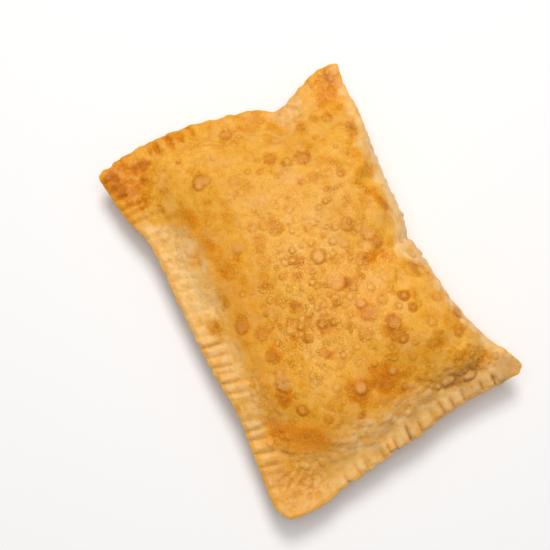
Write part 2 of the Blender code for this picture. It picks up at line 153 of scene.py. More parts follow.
crust = {
    "columns": 165, "rows": 112,
    "crowdingAtFold": 0.16,
    # the outline from above, side by side
    "seamSide": ((-99.4, -68.0), (-75.0, -66.2), (-53.4, -61.7), (-17.4, -63.8), (6.0, -65.2), (28.0, -65.3), (40.6, -64.7),
                 (66.6, -68.4), (84.0, -70.8), (92.0, -71.0), (98.6, -67.8)),
    "foldSide": ((-91.2, 68.5), (-79.4, 65.5), (-61.4, 64.6), (-25.4, 58.8), (-5.4, 56.8), (6.6, 53.1),
                 (12.1, 55.0), (44.6, 56.0), (69.0, 61.8), (81.0, 67.4), (90.2, 70.2)),
    "leftEnd": ((-99.4, -68.0), (-102.2, -47.0), (-100.1, -18.0), (-91.9, 13.0), (-89.4, 19.5), (-86.0, 25.0),
                (-84.0, 31.0), (-90.0, 47.0), (-92.8, 57.0), (-91.2, 68.5)),
    "rightEnd": ((98.6, -67.8), (100.4, -59.5), (100.3, -50.0), (97.1, -24.0), (95.4, 4.0), (92.1, 29.0), (91.7, 43.0),
                 (92.6, 56.0), (92.3, 64.5), (90.2, 70.2)),
    "meanLength": 192, "meanWidth": 125,
    # each corner's rounding, lift above the seam, flat flap, and climb beyond the flap
    "corners": {
        "left seam": (1.2, 1.5, 11.0, 30.0), "left fold": (1.5, 2.0, 14.0, 36.0),
        "right seam": (0.5, 1.5, 13.0, 34.0), "right fold": (1.7, 3.0, 9.0, 24.0),
    },
    "seamHeight": 16.0, "seamWave": 0.8, "seamWaveLength": 55,
    "topRise": 24.0, "bellyDepth": 17.0,
    "flangeThickness": 3.0, "rimThickness": 1.5, "rimRounding": 2.0, "rimBulge": 0.35,
    "flangeWidths": {"seam": 12.5, "left": 9.0, "right": 9.0},
    "topReach": {"seam": 45, "fold": 30, "left": 52, "right": 50},
    "bellyReach": {"seam": 54, "fold": 50, "left": 72, "right": 72},
    "creaseSoftness": 5.0,
    # fork marks on each pressed side: where along it, how deep, and how far they reach across the flange
    "forkMarks": {
        "seam": ((-94, 0.8, 0.8), (-88.5, 0.6, 0.7), (-83, 0.8, 0.9), (-77, 0.8, 1.1), (-73, 0.6, 1.0),
                 (-68, 0.6, 1.1), (-63, 0.3, 0.9), (-57, 0.45, 1.1), (-52, 0.25, 1.2), (-50.5, 0.3, 0.9),
                 (-46, 0.25, 1.1), (-41, 0.2, 0.8), (-36.5, 0.3, 1.1), (-31, 0.25, 0.9), (-25, 0.3, 1.0),
                 (-19.5, 0.25, 0.8), (-13, 0.3, 0.9), (-6, 0.35, 0.9), (0, 0.3, 0.8), (5.5, 1.1, 0.95),
                 (11.5, 0.8, 0.9), (17.3, 0.75, 0.95), (21, 0.5, 0.8), (26.5, 0.95, 0.95), (32.5, 0.75, 0.9),
                 (39, 0.3, 0.7), (47.5, 0.6, 0.7), (52.5, 0.9, 0.85), (57.5, 0.7, 0.9), (64.5, 1.0, 1.0),
                 (71.3, 0.7, 0.95), (75.5, 0.45, 0.8), (82, 0.4, 0.9), (88, 0.25, 0.7)),
        "left": ((-61, 0.6, 0.8), (-54.5, 0.6, 1.0), (-47, 0.5, 0.9), (-40, 0.7, 1.1), (-35, 1.1, 1.4),
                 (-28, 1.1, 1.5), (-21.5, 0.8, 1.3), (-15.5, 0.8, 1.2), (-8, 0.4, 0.9), (0.5, 0.4, 0.9),
                 (8, 0.3, 0.9), (17, 0.3, 0.8), (41, 0.3, 0.7), (48, 0.4, 0.8), (55, 0.3, 0.8)),
        "right": ((-58, 0.2, 0.7), (-50, 0.3, 0.9), (-44, 0.35, 1.0), (-40.5, 0.3, 1.1), (-34, 0.6, 1.0),
                  (-27, 0.6, 1.0), (-22, 0.6, 1.0), (-16, 0.4, 0.9), (-12.5, 0.6, 1.0), (-8.5, 0.8, 1.0),
                  (-4.5, 0.9, 1.0), (3.5, 1.2, 1.1), (10.5, 0.8, 1.0), (18.3, 0.6, 1.1), (24.3, 0.8, 1.1),
                  (30, 0.8, 1.0), (36.5, 0.8, 1.0), (47, 0.9, 0.9), (53.8, 1.3, 1.0)),
    },
    "grooveHalfWidth": {"seam": 0.6, "left": 1.2, "right": 0.45},
    "lean": {"seam": (0.28, 0.07), "left": (0.0, 0.15), "right": (0.0, 0.08)},  # usual lean, and how much it varies
    "cellHeight": 0.9,  # the height is a share of the depth
    "rimPull": 1.5, "rimPullWidth": 4.0,
    "rimWander": 0.8, "rimWanderLength": 5.0,
    "lumpSize": 3.6, "lumpHeight": 0.13, "crumpleHeight": 0.16,
    "cellSize": 4.4, "cellPuff": 0.36,
    # where the skin is crumpled: x, y, half length, half width, direction in degrees, how much
    "crumpled": (
        (-88, -54, 14, 14, 0, 0.4), (-70, -54, 10, 7, 0, 0.45), (-46, -52, 14, 9, 0, 0.7),
        (-10, -54, 30, 7, 0, 0.4), (76, 47, 8, 16, 0, 0.65), (68, 41, 9, 11, 0, 0.5),
        (76, 18, 7, 18, 0, 0.45), (80, -16, 8, 22, 0, 0.4), (84, -50, 12, 14, 0, 0.6),
        (62, -52, 14, 6, 0, 0.6), (-84, -20, 12, 24, 0, 0.45), (-80, 34, 8, 12, 0, 0.6),
        (-82, 56, 12, 10, 0, 0.4), (42, -40, 8, 7, 0, 0.7), (20, -14, 24, 20, 0, 0.3),
        (35, -49, 16, 5, 0, 0.6), (20, 53, 40, 4, 0, 0.5),
    ),
    "swellHeight": 0.5, "swellLength": 48,
    "puckerHeight": 0.8, "puckerLength": 17, "puckerReach": (10, 36),
    # creases: x, y, direction in degrees, length, half width and depth
    "creases": (
        (-78, 28, -14, 20, 4.5, 2.4), (6.6, 51, -88, 11, 2.6, 1.4), (81, 42, 84, 32, 3.2, 1.5),
        (-60, -48, 82, 16, 2.2, 0.9), (83, -52, 128, 17, 1.3, 0.6), (89, -56, 152, 14, 1.2, 0.5),
        (80, -58, 106, 13, 1.2, 0.6), (-90, -50, 118, 18, 1.6, 1.0),
    ),
    # thin folds between crumpled blisters, darkened partly as browner dough and partly as painted shade: from x, y to
    # x, y, half width, depth and darkness
    "folds": (
        (82.8, 53.6, 80.6, 48.6, 0.8, 0.9, 0.8), (80.6, 48.6, 82.9, 46.8, 0.8, 0.8, 0.9),
        (82.9, 46.8, 83.3, 42.0, 0.8, 0.9, 0.9), (83.3, 42.0, 81.6, 38.0, 0.9, 0.9, 0.9),
        (81.6, 38.0, 79.4, 36.4, 0.8, 0.8, 0.8), (81.4, 36.6, 80.5, 30.8, 0.9, 0.9, 0.9),
        (79.8, 47.8, 79.2, 44.2, 0.6, 0.6, 0.7), (79.2, 44.2, 80.2, 40.6, 0.6, 0.6, 0.7),
        (78.4, 38.2, 76.6, 35.0, 0.6, 0.6, 0.6), (76.6, 35.0, 76.2, 30.0, 0.5, 0.5, 0.5),
        (77.2, 29.0, 80.5, 29.4, 0.6, 0.6, 0.5), (79.4, 50.0, 77.0, 46.6, 0.6, 0.5, 0.4),
        (80.0, 57.4, 82.6, 54.0, 0.8, 0.6, 0.5), (76.2, 44.6, 77.6, 41.0, 0.6, 0.5, 0.4),
        (75.2, 38.6, 73.4, 33.0, 0.7, 0.4, 0.3), (72.2, 29.4, 69.6, 23.4, 0.7, 0.4, 0.3),
        (75.6, 27.0, 73.0, 22.6, 0.7, 0.4, 0.3), (79.4, 26.0, 76.2, 21.4, 0.7, 0.4, 0.3),
        (79.6, -50.6, 84.6, -61.0, 0.9, 1.0, 0.45), (83.4, -50.0, 90.6, -59.6, 0.9, 1.0, 0.45),
        (85.6, -47.6, 95.0, -54.6, 0.9, 0.8, 0.4), (78.8, -55.0, 80.0, -63.0, 0.9, 0.8, 0.4),
        (81.8, -47.4, 88.0, -50.6, 0.8, 0.6, 0.35),
        (-74.0, -47.0, -77.0, -57.0, 0.8, 0.5, 0.35), (-66.0, -48.0, -68.0, -58.0, 0.8, 0.4, 0.3),
        (-84.0, -47.0, -89.0, -57.0, 1.0, 0.9, 0.35), (-93.0, -50.0, -98.0, -60.0, 1.0, 0.8, 0.3),
        (-60.0, -51.0, -57.5, -56.5, 0.8, 0.4, 0.3), (-79.0, 39.0, -83.0, 34.0, 0.8, 0.5, 0.15),
    ),
    # blisters on the upper face: x, y, radius, height, how tan the top is, how dark the ring is (browned dough, and
    # painted shade on the blister's steep side)
    "blisterHeight": 0.45,
    "blisters": (
        (-4, 6.5, 4.0, 1.4, 0.9, 0.9), (10.2, 8, 5.2, 1.2, 1.0, 0.2), (-12, 7, 2.1, 0.4, 0.4, 0.6),
        (-1.5, 13, 2.1, 0.4, 0.0, 0.5), (0.6, 0.3, 1.7, 0.3, 0.0, 0.45), (-19, 9.5, 2.5, 0.35, 0.1, 0.25),
        (-24.5, 10.5, 1.6, 0.3, 0.0, 0.35), (-2.5, 34, 4.3, 0.8, 0.8, 0.45), (2.8, 35.5, 3.6, 0.6, 0.1, 0.5),
        (-11, 26.5, 3.6, 0.6, 0.4, 0.5), (-13, 21, 2.3, 0.5, 1.3, 0.5), (-4, 20.5, 2.5, 0.4, 0.9, 0.45),
        (-26.5, 23, 1.7, 0.4, 0.1, 0.8), (32.5, 33, 2.9, 0.9, 0.0, 0.9), (39.5, 33.5, 2.4, 0.6, 0.0, 0.7),
        (20, 32, 4.6, 0.5, 0.35, 0.35), (26, 12.7, 2.9, 0.7, 1.2, 0.7), (31.5, 14, 4.5, 0.5, 0.5, 0.25),
        (29, 22.5, 3.0, 0.4, 0.15, 0.3), (19.5, 3, 2.1, 0.4, 0.0, 0.6), (14.5, 20.5, 1.6, 0.3, 0.0, 0.3),
        (14.5, 16, 1.5, 0.3, 0.0, 0.3), (15.5, 48.5, 2.6, 0.6, 0.4, 0.5), (22.5, 44.5, 4.5, 0.5, 0.1, 0.3),
        (60, 48.5, 3.0, 0.6, 0.2, 0.5), (52, 53, 3.0, 0.6, 0.3, 0.4), (50, 38.5, 2.8, 0.5, 0.1, 0.5),
        (40.5, 48, 3.0, 0.4, 0.1, 0.3), (42, 22, 3.8, 0.9, 0.9, 0.3), (50.5, 22.5, 2.6, 0.7, 0.3, 0.8),
        (54.5, 26.5, 2.0, 0.4, 0.0, 0.3), (60, 22, 2.2, 0.5, 0.4, 0.3), (56, 14, 2.2, 0.5, 0.2, 0.5),
        (61, 10.2, 2.6, 0.9, 1.3, 0.5), (40, 7.5, 3.8, 0.5, 0.3, 0.4), (54.5, 4, 1.7, 0.4, 0.2, 0.6),
        (70.5, 12, 1.8, 0.4, 0.2, 0.5), (81.3, 44.4, 2.5, 3.6, 0.8, 0.1), (81.5, 42.2, 2.1, 3.6, 0.8, 0.1),
        (78.2, 34, 2.4, 3.6, 0.8, 0.1), (78.6, 31.4, 2.0, 3.2, 0.8, 0.1), (78.5, 27.3, 1.6, 2.0, 0.7, 0.3),
        (78.2, 42.6, 1.3, 2.0, 0.7, 0.3), (78.6, 39.9, 1.1, 0.8, 1.0, 0.3), (77, 46, 1.2, 0.8, 0.8, 0.3),
        (79, 60.4, 1.9, 0.8, 0.2, 0.5), (77.4, 57.6, 1.5, 0.7, 0.4, 0.3), (75.8, 36.2, 2.0, 0.8, 0.7, 0.2),
        (73.4, 30.4, 1.9, 0.8, 0.7, 0.2), (74.4, 26.6, 1.4, 0.7, 0.7, 0.3), (70, 22, 2.6, 0.8, 0.3, 0.2),
        (79, 21, 2.2, 1.4, 0.3, 0.1), (80, -2.2, 2.2, 1.6, 0.3, 0.1), (75.4, 5, 2.0, 1.2, 0.3, 0.1),
        (82.6, 8, 2.0, 1.4, 0.3, 0.1), (77, -12, 2.3, 1.0, 0.3, 0.1), (81, -22, 2.4, 1.0, 0.3, 0.1),
        (76.5, 13.5, 2.0, 1.0, 0.3, 0.1), (83.5, -34, 2.4, 1.0, 0.3, 0.1), (61, -7.5, 3.9, 1.8, 1.3, 0.7),
        (40.6, -38, 5.0, 1.2, 1.2, 0.3), (56, -37, 2.9, 0.6, 0.2, 0.7), (38, -14, 3.0, 0.4, 0.2, 0.3),
        (66, -28, 2.5, 0.3, 0.0, 0.4), (72.5, -13, 2.0, 0.3, 0.0, 0.4), (-27, -5, 4.0, 0.6, 0.2, 0.4),
        (-9, -5.5, 2.3, 0.6, 0.3, 1.0), (-13.5, -3.5, 1.8, 0.5, 0.2, 0.8), (-6.5, -2, 1.6, 0.4, 0.2, 0.7),
        (-1, -7, 2.2, 0.3, 0.0, 0.2), (27, -3.5, 2.2, 0.5, 0.1, 0.8), (25.5, -8.5, 2.6, 0.7, 0.4, 1.0),
        (11.5, -14.5, 4.0, 0.3, 0.0, 0.2), (21, -18, 2.3, 0.6, 0.2, 0.8), (27.5, -17.5, 2.4, 0.6, 0.2, 0.8),
        (5, -21, 2.5, 0.4, 0.1, 0.3), (-22, -16, 2.5, 0.4, 0.3, 0.3), (-16, -18, 3.5, 0.4, 0.2, 0.3),
        (-31, -9.5, 2.5, 0.4, 0.0, 0.5), (-28, -25.5, 3.6, 0.8, 1.2, 0.25), (14, -35.5, 4.0, 0.6, 0.3, 0.3),
        (26, -36.5, 4.0, 0.7, 0.0, 0.4), (6, -42, 4.0, 0.8, 0.4, 0.4), (7, -29, 1.6, 0.3, 0.0, 0.4),
        (-8, -43, 2.0, 0.3, 0.0, 0.3), (-4.5, -13, 2.2, 0.3, 0.1, 0.3), (28, -51, 2.2, 0.5, 0.2, 0.1),
        (33, -51, 2.2, 0.5, 0.2, 0.1), (-66.2, -22.9, 3.3, 1.0, 0.8, 0.7), (-67.6, -25.0, 3.6, 1.0, 0.8, 0.7),
        (-65.8, -26.2, 3.1, 1.0, 0.8, 0.7), (-58.5, -10.5, 3.0, 0.3, 0.1, 0.3),
        (-84.5, -1, 3.5, 0.7, 0.6, 0.5), (-83, -29, 1.5, 0.3, 0.1, 0.5), (-56, -46, 3.0, 0.4, 0.5, 0.1),
        (-84, -58, 3.0, 1.0, 0.3, 0.3), (-95, -63.5, 2.2, 0.7, 0.3, 0.2), (-87, -47, 2.4, 0.7, 0.2, 0.2),
        (-80, -60, 2.4, 0.7, 0.1, 0.2), (-57, 54.5, 2.4, 0.6, 0.3, 0.3), (-52.5, 54.3, 2.5, 0.6, 0.5, 0.35),
        (-67, 48, 3.0, 0.6, 0.2, 0.5), (-69.5, 42, 2.8, 0.5, 0.1, 0.3), (-53.5, 17, 2.8, 0.5, 0.2, 0.6),
        (-52.5, 25, 4.2, 0.7, 0.3, 0.4), (-68, 18, 3.0, 0.3, 0.1, 0.3), (-60.5, 11, 3.5, 0.4, 0.2, 0.3),
        (-41, 24.5, 2.8, 0.4, 0.1, 0.4), (-41, 18, 2.0, 0.3, 0.1, 0.4), (-69, 34, 3.0, 0.3, 0.0, 0.2),
        (-89, 61, 1.8, 0.5, 0.2, 0.5), (-85, 61, 1.8, 0.5, 0.2, 0.5),
    ),
    # browner stains: x, y, half length, half width, direction in degrees, strength; negative strengths give paler
    # dough, and the paler stain at (81, -14) on the right slope and the broad paler ones along the seam band also
    # offset the shade on those slopes, painted light
    "stains": (
        (12.8, 12.2, 3.4, 1.8, -30, 0.75), (14.6, 7.8, 3.2, 1.5, 73, 0.5), (10, 8, 8.5, 8, 0, 0.3),
        (-1, -6.6, 2.4, 2.2, 0, 0.35), (9.5, 31, 9.5, 3.8, 62, 0.62), (8.6, 26.6, 5, 1.5, 62, 0.2),
        (-35, -46, 3.6, 3.2, 0, 0.4), (-28, -48, 28, 6.5, -2, -0.55), (18, -50, 20, 4.5, 0, -0.5),
        (81, -14, 7, 20, 0, -0.19), (10.5, 25, 1.8, 1.8, 0, 0.45), (10, 20, 1.8, 1.8, 0, 0.45),
        (-24, 42.5, 5, 2.5, 25, 0.55), (-12, 48, 6.5, 3, 20, 0.6), (-18.5, 48.5, 5, 3, 20, 0.45),
        (22.5, 44.5, 5.5, 2.6, 5, 0.6), (-30, 50, 6, 5, 0, 0.1), (30, 13, 6.5, 5.5, 0, 0.75),
        (2.5, 35, 4, 3.2, 0, 0.6), (-3, 34, 5, 4, 0, 0.45), (33, 37.5, 4, 3.5, 0, 0.65),
        (32.5, 33, 3, 3, 0, 0.75), (39.5, 33.5, 2.4, 2.4, 0, 0.7), (52, 53, 4, 3, 0, 0.65),
        (60, 49, 4, 3, 0, 0.4), (44.5, 20, 7.4, 6.8, 0, 0.85), (60, 34.5, 4, 4, 0, 0.4),
        (71.5, 43.5, 3.5, 5, 0, 0.55), (66, 27, 3, 3, 0, 0.3), (61, 30, 5, 5, 0, 0.15),
        (63, 5, 9, 8, 0, 0.85), (62.5, -8.5, 7.5, 7, 0, 1.1), (60, 10, 12, 30, 0, 0.3),
        (70.5, 12, 2.5, 2.5, 0, 0.15), (40, 8, 4.4, 4, 0, 0.5), (-11, 27, 4, 4, 0, 0.35),
        (45.5, -41.5, 5.6, 5.0, 0, 1.1), (66, -44, 15, 4.6, 49, 0.62), (75, -37, 3, 5, 0, 0.3),
        (67, -25, 6, 5, 0, 0.2), (0, -42, 50, 9, 0, -0.15), (59, -51, 5, 3.6, 40, 0.55),
        (66, -49.5, 4, 2, 49, 0.3), (58, -44, 3, 3, 0, 0.3), (56, -37, 3.4, 3, 0, 0.3),
        (72.5, -13, 2, 2, 0, 0.6), (-27, -4, 4.5, 3.8, 0, 0.65), (-9, -4.5, 6, 4, 0, 0.35),
        (27, -6.5, 5, 5.5, 0, 0.5), (25, -21, 6, 5, 0, 0.35), (-25, -26.5, 5, 2.5, -20, 0.4),
        (-20.5, -35.5, 8, 5.5, 20, 0.75), (-11, -41.5, 10, 2.4, -12, 0.2), (39.4, -13.4, 2.8, 3.2, 0, 0.3),
        (-8, -43, 4, 2, 0, 0.4), (14, -35.5, 4.5, 3, 0, 0.5), (26, -36, 4.8, 3.6, 0, 0.85),
        (5, -41.5, 5.5, 4, 0, 0.75), (-1, -54, 6, 4, 0, 0.55), (-39, -35.5, 6, 4.5, 0, 0.4),
        (-55, -39.5, 8, 3.5, -10, 0.35), (-67, -25, 5.6, 5.6, 0, 0.6), (-37, -10, 4, 3, 0, 0.3),
        (-90, -56, 13, 14, 0, 0.45), (-90, -62, 10, 4.2, 3, 1.05), (-92, -46.5, 3.4, 6, 0, 0.92),
        (-84, -52, 3, 5, 20, 0.35), (11.5, -14.3, 4, 3.6, 0, 0.35), (-78, -55, 6, 5, 0, 0.15),
        (-96, -28, 6, 12, 0, 0.25), (-84, -1, 5, 5, 0, 0.45), (-83, 11, 6, 5, 0, 0.3),
        (-77, 54, 12, 7, -20, 0.5), (-86, 60, 8, 7, 0, 0.5), (-54.5, 55, 5.5, 4, 0, 0.65),
        (-67, 48, 4, 3, 0, 0.35), (-69, 43, 3, 3, 0, 0.45), (-59, 47, 3, 1.5, 0, 0.3),
        (-52.5, 25, 5.5, 4, 20, 0.75), (-53, 16, 3.5, 3.5, 0, 0.4), (-45, 35, 5, 2.5, 30, 0.5),
        (-60, 11, 4, 4, 0, 0.35), (-69, 34, 3, 3, 0, 0.1), (-65, 0, 20, 20, 0, -0.04),
        (-15, 15, 25, 20, 0, -0.1), (-60, 40, 10, 8, 0, -0.05), (-18, 52, 8, 4.5, 0, -0.7),
        (3, 47, 6, 4, 0, -0.4), (8, -10, 12, 12, 0, -0.15), (80.8, 41, 3.2, 13, 0, 0.4),
        (78, 36, 3.5, 9, 0, 0.4), (77, 52, 3, 6, 0, 0.2), (88, -58, 15, 14, 0, 0.1),
        (74, -62, 12, 6, 0, 0.12),
        # paler lumps
        (81.4, 43.5, 3.0, 4.0, 0, -0.9), (78.4, 32.8, 2.9, 4.0, 0, -0.9), (78.5, 27.3, 1.6, 1.6, 0, -0.7),
        (78.2, 42.6, 1.3, 1.3, 0, -0.7), (80, -2.2, 2.3, 2.6, 0, -0.7), (79, 21, 2.3, 2.4, 0, -0.6),
        (75.4, 5, 2.2, 2.2, 0, -0.6), (82.6, 8, 2.0, 2.4, 0, -0.6), (77, -12, 2.4, 2.4, 0, -0.5),
        (81, -22, 2.6, 2.4, 0, -0.5), (76.5, 13.5, 2.0, 2.6, 0, -0.5), (83.5, -34, 2.6, 2.4, 0, -0.5),
    ),
    # painted shade: darker, greyer dough where slopes and bent flaps lie in shade: x, y, half length, half width,
    # direction in degrees, strength
    "paintedShade": (
        (87, 61, 7, 9, 0, 0.62), (87, 45, 5, 10, 0, 0.42), (83, -43, 9, 9, 0, 0.08), (47, -58, 16, 6, 0, 0.2),
        (89, 18, 6, 28, 0, 0.3), (79.5, 41, 5.5, 15, 0, 0.3), (76, -62, 10, 6, 0, 0.14),
        (-82, 33, 11, 10, 0, 0.1), (-62, 8, 26, 45, 0, 0.08), (-30, 30, 30, 20, 0, 0.06),
    ),
    # more orange dough; on the seam slope and near the D corner it is brightened to offset the shade there, painted
    # light: x, y, half length, half width, direction in degrees, strength
    "amberAndPaintedLight": (
        (66, -44, 19, 8, 49, 1.0), (9.5, 31, 10, 4.5, 62, 0.4), (-36, -45, 6, 5, 0, 0.6),
        (-90, -56, 14, 14, 0, 0.3), (-80, 56, 13, 9, -20, 0.4), (0, -36, 55, 11, 0, 0.4),
        (62, -2, 14, 16, 0, 0.35), (30, 14, 8, 7, 0, 0.3),
    ),
    # crowds: x, y, spread along and across, count, radii, height as a share of the radius, tan, ring (browned dough
    # and painted shade)
    "crowds": (
        (0, 8, 34, 22, 190, 1.0, 2.5, 0.045, 0.3, 0.55), (22, -16, 14, 12, 90, 0.9, 2.1, 0.05, 0.3, 0.55),
        (-55, 10, 22, 26, 90, 1.0, 3.0, 0.05, 0.2, 0.3), (50, 0, 16, 36, 90, 1.0, 3.0, 0.05, 0.3, 0.42),
        (78, 0, 4, 32, 110, 1.0, 2.6, 0.19, 1.1, 0.1), (78, 52, 3, 6, 16, 0.9, 1.8, 0.4, 0.6, 0.3),
        (84, -55, 6, 7, 40, 0.9, 2.4, 0.28, 0.2, 0.15), (-88, -56, 7, 8, 26, 1.0, 2.6, 0.16, 0.0, 0.3),
        (55, -52, 20, 3.5, 70, 0.9, 2.2, 0.22, 0.25, 0.15), (10, 54, 50, 2.5, 120, 0.9, 2.4, 0.24, 0.15, 0.1),
        (-30, -50, 20, 5, 70, 1.0, 3.0, 0.10, 0.05, 0.08), (-84, 55, 6, 7, 30, 0.9, 2.2, 0.2, 0.1, 0.2),
        (-92, -15, 4, 16, 40, 1.0, 2.6, 0.16, 0.1, 0.15),
    ),
    "bellyCrowds": (
        (-20, 0, 34, 24, 160, 1.2, 4.6, 0.16, 0.5, 0.5), (40, 0, 30, 26, 160, 1.0, 4.0, 0.16, 0.5, 0.5),
        (0, 0, 60, 34, 260, 0.8, 2.0, 0.16, 0.2, 0.35),
    ),
    "seed": 7,
}


def smoothStep(value, low, high):
    u = np.clip((value - low) / (high - low), 0, 1)
    return u * u * (3 - 2 * u)


def smoothLine(points, steps=24):
    knots = np.array(points)
    ends = np.vstack([2 * knots[0] - knots[1], knots, 2 * knots[-1] - knots[-2]])
    w = np.linspace(0, 1, steps, endpoint=False)[:, None]
    dense = [
        0.5 * (2 * b + (c - a) * w + (2 * a - 5 * b + 4 * c - d) * w**2 + (3 * b - a - 3 * c + d) * w**3)
        for a, b, c, d in zip(ends, ends[1:], ends[2:], ends[3:])
    ]
    line = np.vstack([*dense, knots[-1:]])
    travelled = np.concatenate([[0], np.cumsum(np.linalg.norm(np.diff(line, axis=0), axis=1))])
    share = travelled / travelled[-1]
    return lambda u: np.stack([np.interp(u, share, line[:, k]) for k in (0, 1)], axis=-1)


seamLine, foldLine, leftLine, rightLine = [
    smoothLine(crust[side]) for side in ("seamSide", "foldSide", "leftEnd", "rightEnd")
]
cornerPoints = np.array([crust[side][end] for end in (0, -1) for side in ("seamSide", "foldSide")])


def roundedCorners(s, t):
    radius = np.choose((s > 0) * 2 + (t > 0), [corner[0] for corner in crust["corners"].values()])
    halfLength, halfWidth = crust["meanLength"] / 2 / radius, crust["meanWidth"] / 2 / radius
    x = np.clip(1 - (1 - np.abs(s)) * halfLength, 0, 1)
    y = np.clip(1 - (1 - np.abs(t)) * halfWidth, 0, 1)
    s = s - np.sign(s) * x * (1 - np.sqrt(1 - y * y / 2)) / halfLength
    t = t - np.sign(t) * y * (1 - np.sqrt(1 - x * x / 2)) / halfWidth
    return s, t


# where grid position (s, t) lies in plan, and how far it is from each side
def flatSheet(s, t):
    s, t = roundedCorners(s, t)
    a, b = (1 + s) / 2, (1 + t) / 2
    seam, fold, left, right = seamLine(a), foldLine(a), leftLine(b), rightLine(b)
    length = np.linalg.norm(right - left, axis=-1)
    width = np.linalg.norm(fold - seam, axis=-1)
    inward = {"seam": b * width, "fold": (1 - b) * width, "left": a * length, "right": (1 - a) * length}
    a, b = a[..., None], b[..., None]
    lower = (1 - a) * cornerPoints[0] + a * cornerPoints[2]
    upper = (1 - a) * cornerPoints[1] + a * cornerPoints[3]
    plan = (1 - b) * seam + b * fold + (1 - a) * left + a * right - (1 - b) * lower - b * upper
    return plan, inward


def swell(plan, length, seed, waves=9):
    rng = np.random.default_rng(seed)
    total = np.zeros(plan.shape[:-1])
    for _ in range(waves):
        turn, phase = rng.uniform(0, 2 * np.pi, 2)
        wave = 2 * np.pi / (length * rng.uniform(0.7, 1.5))
        total += np.cos(wave * (plan @ np.array((np.cos(turn), np.sin(turn)))) + phase)
    return total / np.sqrt(waves)


def rise(distance, reach):
    soft = (distance + np.sqrt(distance**2 + crust["creaseSoftness"]**2)) / 2
    u = np.clip(soft / reach, 0, 1)
    return (1 - (1 - u) ** 2.3) ** 0.85


def bend(distance, reach):
    u = np.clip(distance / reach, 0, 1)
    return np.sqrt(1 - (1 - u) ** 2.2)


def puff(plan, inward, reach):
    share = bend(inward["fold"], reach["fold"])
    for side, flange in crust["flangeWidths"].items():
        share = share * rise(inward[side] - flange, reach[side])
    for point, (_, _, flap, climb) in zip(cornerPoints, crust["corners"].values()):
        away = np.linalg.norm(plan - point, axis=-1)
        share = share * smoothStep(away, flap, flap + climb)
    return share


# depth of the grooves that the fork left along one side, and the pillows pushed up between them
def forkMarks(plan, inward, side, seed):
    rng = np.random.default_rng(seed)
    along = plan[..., 0 if side == "seam" else 1]
    flange = crust["flangeWidths"][side]
    marks, deepest = np.zeros((2, *along.shape))
    beside = np.full(along.shape, 9.0)
    for middle, depth, share in crust["forkMarks"][side]:
        reach = flange * share * rng.uniform(0.9, 1.05)
        usual, spread = crust["lean"][side]
        lean = usual * smoothStep(middle, -100, -40) + spread * rng.uniform(-1, 1)
        across = along - middle - lean * (inward[side] - flange / 2)
        nearer = np.abs(across) < beside
        beside = np.where(nearer, np.abs(across), beside)
        deepest = np.where(nearer, depth, deepest)
        ends = smoothStep(inward[side], -1.5, 1.5) * (1 - smoothStep(inward[side], reach - 4, reach + 0.5))
        line = 0.5 * np.exp(-((across / crust["grooveHalfWidth"][side]) ** 2)) + 0.25 * np.exp(-((across / 1.8) ** 2))
        marks = np.maximum(marks, depth * line * ends)
    over = smoothStep(inward[side], 0.2, 3.0) * (1 - smoothStep(inward[side], flange - 5, flange + 1))
    return marks, deepest * smoothStep(beside, 0, 2.6) * (1 - smoothStep(beside, 3.5, 7)) * over


def allForkMarks(plan, inward):
    found = [
        forkMarks(plan, inward, side, crust["seed"] + number)
        for number, side in enumerate(crust["forkMarks"])
    ]
    marks = dict(zip(crust["forkMarks"], [pair[0] for pair in found]))
    return marks, np.maximum.reduce([pair[1] for pair in found])


# how deep the thin folds are, and how dark they are painted: partly browner dough, partly painted shade
def thinFolds(plan):
    depth, dark = np.zeros((2, *plan.shape[:-1]))
    for x1, y1, x2, y2, halfWidth, deep, darkness in crust["folds"]:
        start, run = np.array((x1, y1)), np.array((x2 - x1, y2 - y1))
        share = np.clip((plan - start) @ run / (run @ run), 0, 1)
        away = np.linalg.norm(plan - start - share[..., None] * run, axis=-1)
        line = np.exp(-((away / halfWidth) ** 2))
        depth = np.maximum(depth, deep * line)
        dark = np.maximum(dark, darkness * line)
    return depth, dark


def seamLevel(plan, s, t):
    a, b = (1 + s) / 2, (1 + t) / 2
    near = ((1 - a) * (1 - b), (1 - a) * b, a * (1 - b), a * b)
    lift = sum(corner[1] * share**3 for corner, share in zip(crust["corners"].values(), near))
    return crust["seamHeight"] + lift + crust["seamWave"] * swell(plan, crust["seamWaveLength"], crust["seed"] + 10)


def creaseDepth(plan):
    depth = np.zeros(plan.shape[:-1])
    for x, y, degrees, length, halfWidth, deep in crust["creases"]:
        turn = np.radians(degrees)
        away = plan - np.array((x, y))
        forward = away @ np.array((np.cos(turn), np.sin(turn)))
        sideways = away @ np.array((-np.sin(turn), np.cos(turn)))
        ends = 1 - smoothStep(np.abs(forward), 0.25 * length, 0.6 * length)
        depth += deep * ends * np.exp(-((sideways / halfWidth) ** 2))
    return depth


